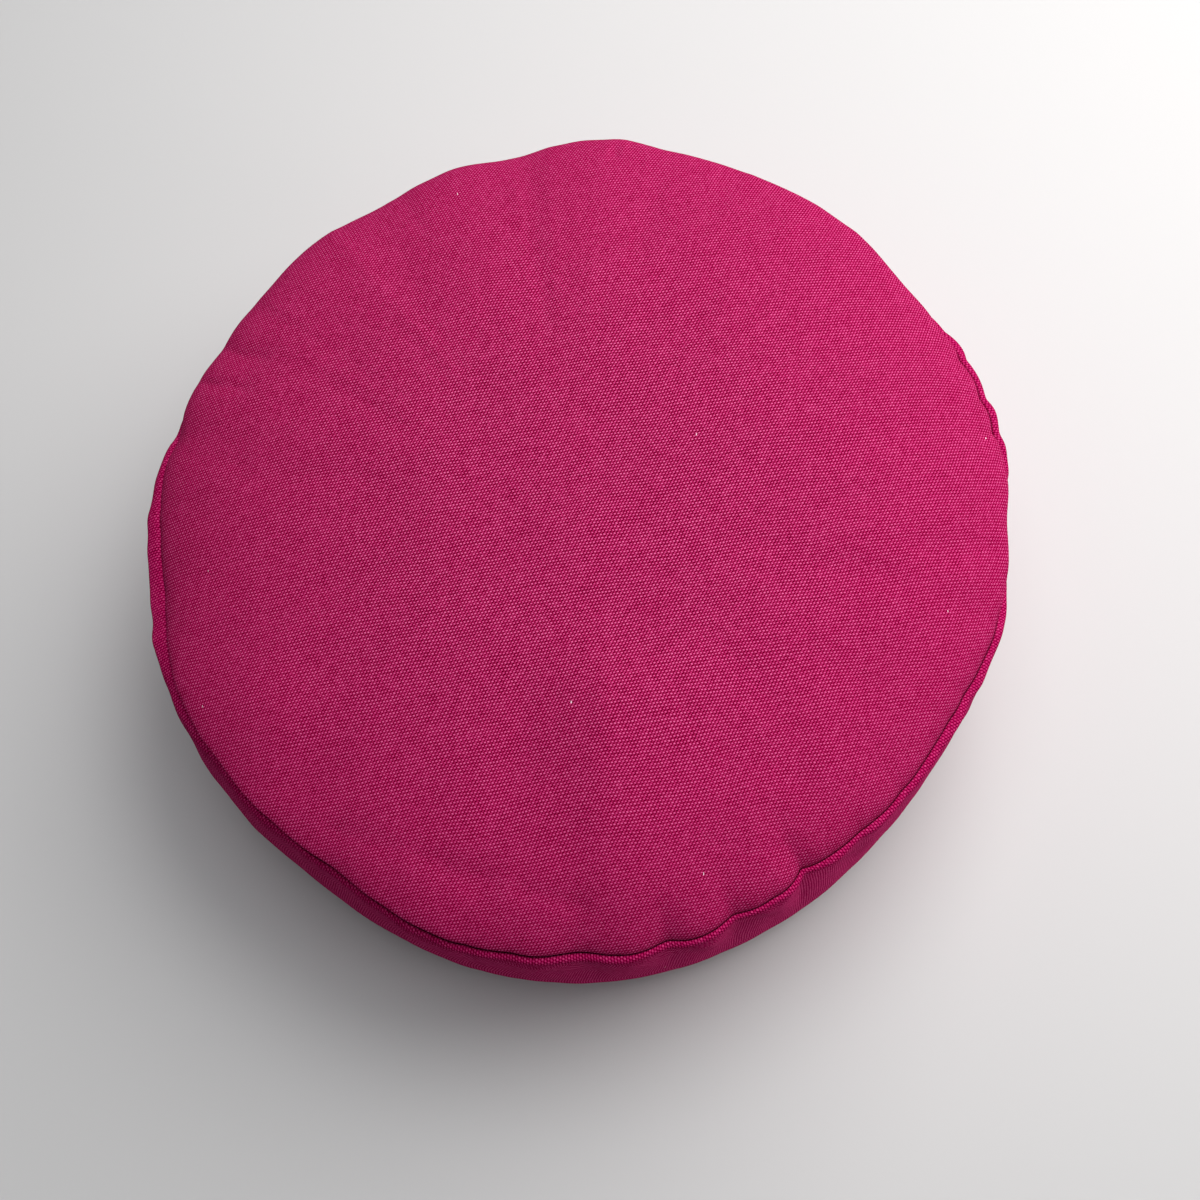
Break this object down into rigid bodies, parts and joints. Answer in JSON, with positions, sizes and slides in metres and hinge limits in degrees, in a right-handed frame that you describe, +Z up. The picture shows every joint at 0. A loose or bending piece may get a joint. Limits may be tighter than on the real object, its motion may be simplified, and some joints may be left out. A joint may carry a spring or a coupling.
{
  "type": "zafu meditation cushion",
  "caption": "Round, firmly filled floor cushion with a crowned top panel, a flat base panel and a side band rolled over its seams, for sitting in meditation.",
  "frame": {"origin": "centre of the base, on the surface that the cushion rests on", "axes": "+Z up through the middle of the crown; -Y is the side towards the viewer"},
  "size_m": [0.3537, 0.3554, 0.1345],
  "materials": {
    "band_canvas": "matte heavy plain-weave cotton canvas",
    "top_canvas": "matte heavy plain-weave cotton canvas",
    "bottom_canvas": "matte heavy plain-weave cotton canvas"
  },
  "bodies": {
    "root": {"side_band": "band_canvas", "top_panel": "top_canvas", "bottom_panel": "bottom_canvas"}
  },
  "joints": []
}
